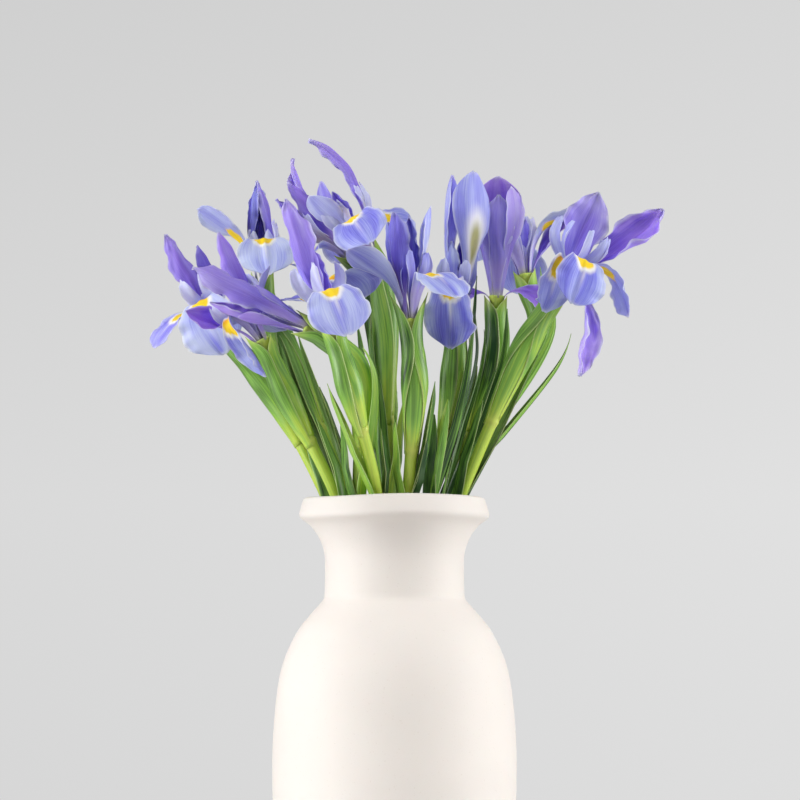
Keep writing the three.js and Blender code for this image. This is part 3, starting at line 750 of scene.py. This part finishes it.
def stalk(body, iris, line, rng):
    """The stalk and the swollen core of its spathe, with a raised joint where a sheath starts."""
    upper = line.length - 150
    joint_at = line.length - iris["joint"]
    near_joint = joint_at + np.linspace(-5, 5, 15)
    even = [*np.linspace(0, upper, 12), *np.linspace(upper, line.length, 76)]
    distances = np.unique([*even, *near_joint, WATER_LEVEL])
    point, _, side, back = line.station(distances)
    below = (line.length - distances) * SWELLING / iris["joint"]
    swell = 0.5 * hump(distances - joint_at, 1.6) * ease(50, 64, below)
    # The stalk is slimmer under water, because the water's hole for it is six-sided
    slim = mix(0.92, 1, ease(WATER_LEVEL, WATER_LEVEL + 15, distances))
    breadth = slim * along(STEM_BREADTH, below) + swell
    depth = slim * along(STEM_DEPTH, below) + swell
    angle = angles(20)
    ribs = 1 + 0.02 * np.sin(angle * 7)
    across = side[:, None] * (breadth[:, None] * np.cos(angle) * ribs)[..., None]
    rings = point[:, None] + across + back[:, None] * (depth[:, None] * np.sin(angle) * ribs)[..., None]
    joint = 0.6 * hump(distances - joint_at, 4)
    tone = mix(rng.uniform(-0.06, 0.12), rng.uniform(0.35, 0.6), ease(joint_at, joint_at + 24, distances))
    s, tone, joint = (row[:, None] for row in (distances / line.length, tone, joint))
    # Ribs are about 0.8 mm apart round a stalk 7 mm thick
    body.tube(rings, green_paint(s, 4.4 * np.cos(angle), 4.4 * np.sin(angle), tone, rng, joint=joint))


def valve_sheet(body, iris, line, sign, reach, twist, tone, rng):
    """A valve of the spathe: it wraps half the swollen stem and narrows to a free tip beside the tube."""
    s, v = grid(48, 15)
    long_tip = reach > 20
    rise = mix(-iris["joint"] - 3 * sign, reach, s**0.9)
    point, _, side, back = line.station(line.length + rise)
    below = np.maximum(0, -rise) * SWELLING / iris["joint"]
    lap = (0.35 if sign < 0 else 0.8) * mix(0.3, 1, ease(0, 0.15, s))
    above = np.clip((rise + 8) / (reach + 8), 0, 1)
    # The bloom's tube fills the sheath, so it keeps its breadth up to the stem's end and flares a little
    flare = 5.2 if long_tip else 0.4
    breadth = mix(along(STEM_BREADTH, below), 5.8, ease(-30, -6, rise)) + lap + flare * above**2.2
    depth = mix(along(STEM_DEPTH, below), 5, ease(-30, -6, rise)) + lap
    half = mix(VALVE_HUG, 0.04, above ** (1.7 if long_tip else 2.6))
    wind = np.radians(twist) * wane(-55, -4, rise)
    u, w = np.cos(half * v + wind), np.sin(half * v + wind)
    offset = side * (sign * breadth * u)[..., None] + back * (depth * w)[..., None]
    normal = -unit(side * (sign * depth * u)[..., None] + back * (breadth * w)[..., None])
    shaded = rng.choice((-1, 1)) * rng.uniform(0.12, 0.3)
    relief = 0.05 * np.sin(v * 19) * ease(0.05, 0.3, s)
    margin = np.abs(v)
    z = rng.uniform(0, 50)
    shade = mix(0.08, tone + shaded * v, ease(0, 0.45, s)) - 0.25 * ease(0.7, 1, s)
    paint = green_paint(s, v * 14, z, shade, rng, 0.65 * ease(0.93, 1, margin), 0.45 * ease(0.85, 1, s))
    body.sheet(point + offset, normal, relief, thinned(VALVE_THICKNESS, s, margin, 0.5, 4, 0.5), paint)


def leaf_sheet(body, line, leaf, tone, rng):
    """A leaf: folded at its midrib, sheathing the stem at its root and flaring away to a long point."""
    reach, toward, flare, breadth = (*leaf, 1)[:4]
    s, v = grid(48, 11)
    point, forward, _, _ = line.station(LEAF_START + s * reach)
    away = np.broadcast_to(compass(toward), point.shape)
    away = unit(away - forward * np.sum(away * forward, -1, keepdims=True))
    point = point + away * (mix(2, 8, np.minimum(1, s * 2)) + flare * s * s)[..., None]
    surface, normal, _ = blade(lambda _: (point, forward, -away), LEAF, s, v, breadth)
    margin = np.abs(v)
    relief = -1.1 * hump(v, 0.2) * ease(0.05, 0.3, s) * wane(0.85, 1, s)
    relief += 0.25 * margin**2 * np.sin(math.tau * s * rng.uniform(0.8, 1.6) + rng.uniform(0, 6))
    relief += 0.03 * np.sin(v * 26)
    shaded = rng.choice((-1, 1)) * rng.uniform(0.15, 0.38)
    z = rng.uniform(0, 50)
    shade = tone + shaded * ease(-0.3, 0.3, v) - 0.08 * ease(0.5, 1, s)
    rim = 0.6 * ease(0.93, 1, margin)
    paint = green_paint(s, v * 11, z, shade, rng, rim, 0.3 * wane(0, 0.08, s), (0.12, 0.0))
    body.sheet(surface, normal, relief, thinned(LEAF_THICKNESS, s, margin, 0.4, 4, 0.5), paint)


def bloom_tube(body, iris, rng):
    """The short green tube that carries the petals, three-lobed and wider at its top."""
    angle = angles(24)
    axis, viewer = aim(iris)
    side = np.cross(axis, viewer)
    base = np.array(iris["top"], float) + axis * GAP
    s = np.linspace(0, 1, 14)[:, None]
    radius = mix(2.4, 5.2, s**0.8) * (1 - 0.5 * ease(0.9, 1, s)) * (1 + 0.1 * np.cos(3 * angle))
    ring = side * np.cos(angle)[:, None] + viewer * np.sin(angle)[:, None]
    rings = base + axis * (s * TUBE_LENGTH)[..., None] + ring * radius[..., None]
    body.tube(rings, green_paint(s, 3 * np.cos(angle), 3 * np.sin(angle), 0.1, rng, joint=0.4))


# Materials


def add(tree, kind, values=None, links=None, stops=None, **settings):
    """Adds a node with its settings, inputs, links and colour stops. A name links a value of the points."""
    made = tree.nodes.new("ShaderNode" + kind)
    for name, value in settings.items():
        setattr(made, name, value)
    for name, value in (values or {}).items():
        made.inputs[name].default_value = value
    for name, socket in (links or {}).items():
        if isinstance(socket, str):
            socket = add(tree, "Attribute", attribute_name=socket).outputs["Fac"]
        tree.links.new(socket, made.inputs[name])
    if stops:
        ramp = made.color_ramp
        while len(ramp.elements) < len(stops):
            ramp.elements.new(1)
        for element, (position, shade) in zip(ramp.elements, stops):
            element.position = position
            element.color = (*shade, 1)
    return made


def noise(tree, at, **values):
    """The value of a noise at a place."""
    return add(tree, "TexNoise", values=values, links={"Vector": at}).outputs["Fac"]


def remap(tree, value, low, high, to_low=0.0, to_high=1.0, **settings):
    """A value moved from one range to another and held at its ends."""
    ends = {"From Min": low, "From Max": high, "To Min": to_low, "To Max": to_high}
    return add(tree, "MapRange", values=ends, links={"Value": value}, **settings).outputs["Result"]


def layer(tree, under, tint, mask):
    """A colour with a tint over it, as much as the mask says."""
    return add(tree, "Mix", data_type="RGBA", values={7: (*tint, 1)}, links={0: mask, 6: under}).outputs[2]


def dress_shader(tree, shader, tint, height, strength, distance):
    """Gives the shader its colour and lets a height roughen its surface, by a distance in metres."""
    tree.links.new(tint, shader.inputs["Base Color"])
    bump = add(tree, "Bump", values={"Strength": strength, "Distance": distance}, links={"Height": height})
    tree.links.new(bump.outputs["Normal"], shader.inputs["Normal"])


def start_material(name, fixed):
    """A material with one Principled shader, and its fixed values on the shader's own sockets."""
    material = bpy.data.materials.new(name)
    material.use_nodes = True
    tree = material.node_tree
    tree.nodes.clear()
    shader = add(tree, "BsdfPrincipled", values=fixed)
    add(tree, "OutputMaterial", links={"Surface": shader.outputs["BSDF"]})
    return material, tree, shader


def living_material(name, fixed, shades, coats, swing, relief):
    """Plant tissue: its shade follows the depth and the ribs of its points, and other coats lie over it."""
    if name in bpy.data.materials:
        return bpy.data.materials[name]
    material, tree, shader = start_material(name, fixed)
    at = add(tree, "CombineXYZ", links={0: "vein_x", 1: "vein_y", 2: "vein_z"}).outputs[0]
    ribs = noise(tree, at, Scale=1.0, Detail=3.0, Roughness=0.6)
    swung = remap(tree, ribs, 0.38, 0.62, -swing, swing)
    depth = add(tree, "Math", operation="ADD", links={0: "depth", 1: swung}).outputs[0]
    shade = add(tree, "ValToRGB", links={"Fac": depth}, stops=shades).outputs["Color"]
    for mask, tint in coats.items():
        shade = layer(tree, shade, tint, mask)
    dress_shader(tree, shader, shade, ribs, 0.4, relief)
    return material


def petal_material(colours):
    """Fresh petal tissue: soft and a little see-through, matt with a faint silky sheen, finely veined."""
    return living_material(
        "iris_petal_tissue",
        {
            "Roughness": 0.52, "IOR": 1.38, "Sheen Weight": 0.08, "Sheen Roughness": 0.4,
            "Subsurface Weight": 0.45, "Subsurface Radius": (0.6, 0.5, 1.0), "Subsurface Scale": 0.003,
        },
        # The first stop is a painted highlight, the lit ridges of pale petals
        [(0.0, colours.painted_ridge_highlight), (0.16, colours.pale), (0.58, colours.middle), (1.0, colours.indigo)],
        {
            "flush": colours.mauve, "crest": colours.crest, "back": colours.margin, "rim": colours.margin,
            "haft": colours.haft, "foot": colours.throat, "halo": colours.halo, "khaki": colours.khaki,
            "signal": colours.signal, "heart": colours.signal_heart,
        },
        swing=0.11,
        relief=0.0006,
    )


def green_material(greens):
    """Living stalk and leaf: waxy and satiny, ribbed lengthwise, with pale margins and a grey bloom."""
    return living_material(
        "iris_green_waxy",
        {
            "Roughness": 0.4, "IOR": 1.42, "Coat Weight": 0.18, "Coat Roughness": 0.28,
            "Subsurface Weight": 0.12, "Subsurface Radius": (0.5, 1.0, 0.3), "Subsurface Scale": 0.0015,
        },
        [(0.0, greens.stalk), (0.45, greens.leaf), (1.0, greens.leaf_dark)],
        {"wax": greens.bloom_wax, "pale": greens.edge, "rim": greens.edge, "joint": greens.joint},
        swing=0.17,
        relief=0.00015,
    )


def glaze_material(settings):
    """Stoneware under a matt white glaze: soft highlights, faint clouding and the fine tooth of the clay."""
    fixed = {"Roughness": 0.68, "IOR": 1.45, "Subsurface Weight": 0.05, "Subsurface Scale": 0.002}
    material, tree, shader = start_material("stoneware_matt_glaze", fixed)
    at = add(tree, "TexCoord").outputs["Object"]
    # Glaze gathers in clouds some 60 mm across, and specks of clay under 1 mm across show through
    cloud = noise(tree, at, Scale=16.0, Detail=3.0)
    speck = remap(tree, noise(tree, at, Scale=900.0, Detail=1.0), 0.7, 0.76)
    thin_glaze = tuple(c * 0.955 for c in settings.glaze)
    stops = [(0.3, thin_glaze), (0.7, settings.glaze)]
    tint = add(tree, "ValToRGB", links={"Fac": cloud}, stops=stops).outputs["Color"]
    faint = add(tree, "Math", operation="MULTIPLY", values={1: 0.35}, links={0: speck}).outputs[0]
    # The glaze has an orange peel, about 2 mm from bump to bump
    peel = noise(tree, at, Scale=420.0, Detail=2.0)
    dress_shader(tree, shader, layer(tree, tint, settings.clay, faint), peel, 0.12, 0.0002)
    return material


def water_material():
    """Clear tap water: colourless, smooth and see-through."""
    fixed = {"Roughness": 0.02, "IOR": 1.333, "Transmission Weight": 1.0, "Base Color": (0.93, 0.97, 0.97, 1)}
    return start_material("clear_water", fixed)[0]


def floor_material():
    """Matt pale paper that fades out into the backdrop's grey, from 0.35 to 1.5 m away."""
    fixed = {"Base Color": (0.8, 0.8, 0.8, 1), "Roughness": 0.9}
    material, tree, shader = start_material("floor_paper", fixed)
    clear = add(tree, "BsdfTransparent")
    at = add(tree, "TexCoord").outputs["Object"]
    far = add(tree, "VectorMath", operation="LENGTH", links={0: at}).outputs["Value"]
    fade = remap(tree, far, 0.35, 1.5, interpolation_type="SMOOTHSTEP")
    both = add(tree, "MixShader", links={0: fade, 1: shader.outputs[0], 2: clear.outputs[0]})
    tree.links.new(both.outputs[0], tree.nodes["Material Output"].inputs["Surface"])
    return material


# The stage


def set_backdrop(scene):
    """A pale grey, a little lighter low down and on the right. Less of it lights the flowers."""
    world = bpy.data.worlds.new("studio_grey")
    world.use_nodes = True
    tree = world.node_tree
    tree.nodes.clear()
    way = add(tree, "SeparateXYZ", links={0: add(tree, "TexCoord").outputs["Generated"]})
    rise = remap(tree, way.outputs["Z"], -0.05, 0.18)
    greys = [(0.0, linear("#DADADA")), (0.4, linear("#DDDDDD")), (1.0, linear("#D3D3D3"))]
    grey = add(tree, "ValToRGB", links={"Fac": rise}, stops=greys).outputs["Color"]
    across = remap(tree, way.outputs["X"], -0.11, 0.11, 0.965, 1.035)
    seen = add(tree, "Background", links={"Color": grey, "Strength": across})
    lit = add(tree, "Background", values={"Color": (1.0, 0.94, 0.9, 1), "Strength": 0.155})
    ray = add(tree, "LightPath").outputs["Is Camera Ray"]
    both = add(tree, "MixShader", links={0: ray, 1: lit.outputs[0], 2: seen.outputs[0]})
    add(tree, "OutputWorld", links={"Surface": both.outputs[0]})
    scene.world = world


def set_floor():
    """A pale disc under the vase."""
    mesh = bpy.data.meshes.new("floor")
    ring = [(FLOOR_RADIUS * math.cos(a), FLOOR_RADIUS * math.sin(a), 0) for a in angles(96)]
    mesh.from_pydata(ring, [], [tuple(range(len(ring)))])
    mesh.materials.append(floor_material())
    floor = place("floor", mesh)


def set_lamps():
    """Soft lamps that all face the flowers."""
    for name, spot, size, power, tint in LAMPS:
        lamp = bpy.data.lights.new(name, "AREA")
        lamp.size = size
        lamp.energy = power
        lamp.color = tint
        made = place(name, lamp)
        made.location = spot
        way = np.array(LAMPS_AIM) - np.array(spot)
        tilt = math.acos(-way[2] / np.linalg.norm(way))
        made.rotation_euler = (tilt, 0, math.atan2(way[1], way[0]) - math.pi / 2)


def set_camera(scene):
    """The photograph's own view."""
    camera = place("camera", bpy.data.cameras.new("camera"))
    camera.data.lens = CAMERA_LENS
    camera.location = CAMERA_PLACE
    camera.rotation_euler = (math.radians(CAMERA_TILT), 0, 0)
    scene.camera = camera


# One operator for each group of pieces


def each_iris(seed):
    """Each iris with its number, a seeded source of random values and an empty body."""
    for i, iris in enumerate(IRISES, 1):
        yield i, iris, random.Random(seed + i), Body()


def dress_blooms(scene, petals, sheet, seed):
    """Makes one object of each bloom's falls or standards."""
    tissue = petal_material(scene.iris_petals)
    for i, iris, rng, body in each_iris(seed):
        for row in iris[petals]:
            sheet(body, iris, Petal(*row), rng, scene.iris_vase)
        body.object(f"{petals}_{i:02d}", tissue, "petals", f"bloom_{i:02d}")


class IRISES_OT_vase(bpy.types.Operator):
    """Makes the vase smooth, a little uneven at its rim, with a matt glaze"""

    bl_idname = "irises.vase"
    bl_label = "Vase"

    def execute(self, context):
        settings = context.scene.iris_vase
        body = Body()
        body.tube(vase_rings(settings.wobble / MM), {})
        body.object("vase_thrown", glaze_material(settings), "ceramic", "vase")
        return {"FINISHED"}


class IRISES_OT_water(bpy.types.Operator):
    """Gives the water in the vase its clear look"""

    bl_idname = "irises.water"
    bl_label = "Water"

    def execute(self, context):
        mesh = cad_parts["water"].data
        mesh.materials.clear()
        mesh.materials.append(water_material())
        return {"FINISHED"}


class IRISES_OT_stalks(bpy.types.Operator):
    """Makes the stalks with their joints, and the two valves of each spathe"""

    bl_idname = "irises.stalks"
    bl_label = "Stalks and spathes"

    def execute(self, context):
        green = green_material(context.scene.iris_greens)
        for i, iris, rng, body in each_iris(100):
            line = StemLine(iris)
            stalk(body, iris, line, rng)
            body.object(f"stalk_{i:02d}", green, "stems", f"stem_{i:02d}")
            spathe = Body()
            twist = rng.uniform(-70, 70)
            tone = rng.uniform(0.38, 0.82)
            for sign, reach in zip((-1, 1), iris.get("valves", (17, 14))):
                valve_sheet(spathe, iris, line, sign, reach, twist, tone + 0.08 * sign, rng)
            spathe.object(f"spathe_{i:02d}", green, "stems", f"stem_{i:02d}")
        return {"FINISHED"}


class IRISES_OT_leaves(bpy.types.Operator):
    """Makes the long folded leaves"""

    bl_idname = "irises.leaves"
    bl_label = "Leaves"

    def execute(self, context):
        green = green_material(context.scene.iris_greens)
        for i, iris, rng, body in each_iris(200):
            line = StemLine(iris)
            for leaf in iris["leaves"]:
                tone = leaf[4] if len(leaf) > 4 else rng.uniform(0.4, 1.0)
                leaf_sheet(body, line, leaf, tone, rng)
            body.object(f"leaves_{i:02d}", green, "stems", f"stem_{i:02d}")
        return {"FINISHED"}


class IRISES_OT_falls(bpy.types.Operator):
    """Makes the falls with their waved margins and yellow signals"""

    bl_idname = "irises.falls"
    bl_label = "Falls"

    def execute(self, context):
        dress_blooms(context.scene, "falls", fall_sheet, 300)
        return {"FINISHED"}


class IRISES_OT_standards(bpy.types.Operator):
    """Makes the upright standards"""

    bl_idname = "irises.standards"
    bl_label = "Standards"

    def execute(self, context):
        dress_blooms(context.scene, "standards", standard_sheet, 400)
        return {"FINISHED"}


class IRISES_OT_styles(bpy.types.Operator):
    """Makes the style arms with their crests, and the short tube under the petals"""

    bl_idname = "irises.styles"
    bl_label = "Style arms and tubes"

    def execute(self, context):
        tissue = petal_material(context.scene.iris_petals)
        green = green_material(context.scene.iris_greens)
        for i, iris, rng, body in each_iris(500):
            places = iris.get("styles", [row[:2] for row in iris["falls"]])
            for (turn, opening), row in zip(places, iris["falls"]):
                style_sheet(body, iris, Petal(*row), turn, opening, rng, context.scene.iris_vase)
            body.object(f"styles_{i:02d}", tissue, "petals", f"bloom_{i:02d}")
            tube = Body()
            bloom_tube(tube, iris, rng)
            tube.object(f"tube_{i:02d}", green, "stems", f"bloom_{i:02d}")
        return {"FINISHED"}


class IRISES_OT_stage(bpy.types.Operator):
    """Sets the pale floor, the soft studio light and the camera of the photograph"""

    bl_idname = "irises.stage"
    bl_label = "Stage"

    def execute(self, context):
        context.scene.view_settings.view_transform = "Standard"
        context.scene.view_settings.look = "None"
        set_backdrop(context.scene)
        set_floor()
        set_lamps()
        set_camera(context.scene)
        return {"FINISHED"}


GROUPS = {"iris_vase": IrisVaseSettings, "iris_petals": IrisPetalColours, "iris_greens": IrisGreenColours}
STEPS = (
    IRISES_OT_vase, IRISES_OT_water, IRISES_OT_stalks, IRISES_OT_leaves, IRISES_OT_falls, IRISES_OT_standards,
    IRISES_OT_styles, IRISES_OT_stage,
)


class IRISES_PT_panel(bpy.types.Panel):
    """Lists the sizes, the colours and the operators"""

    bl_label = "Irises in a vase"
    bl_idname = "IRISES_PT_panel"
    bl_space_type = "VIEW_3D"
    bl_region_type = "UI"
    bl_category = "Irises"

    def draw(self, context):
        for group in (getattr(context.scene, name) for name in GROUPS):
            for name in group.__annotations__:
                self.layout.prop(group, name)
        for step in STEPS:
            self.layout.operator(step.bl_idname)


CLASSES = (*GROUPS.values(), *STEPS, IRISES_PT_panel)


def register():
    for made in CLASSES:
        bpy.utils.register_class(made)
    for name, group in GROUPS.items():
        setattr(bpy.types.Scene, name, PointerProperty(type=group))


def unregister():
    for name in GROUPS:
        delattr(bpy.types.Scene, name)
    for made in reversed(CLASSES):
        bpy.utils.unregister_class(made)


def main():
    """Makes every piece and the stage."""
    register()
    bpy.ops.irises.vase()
    bpy.ops.irises.water()
    bpy.ops.irises.stalks()
    bpy.ops.irises.leaves()
    bpy.ops.irises.falls()
    bpy.ops.irises.standards()
    bpy.ops.irises.styles()
    bpy.ops.irises.stage()


if __name__ == "__main__":
    main()
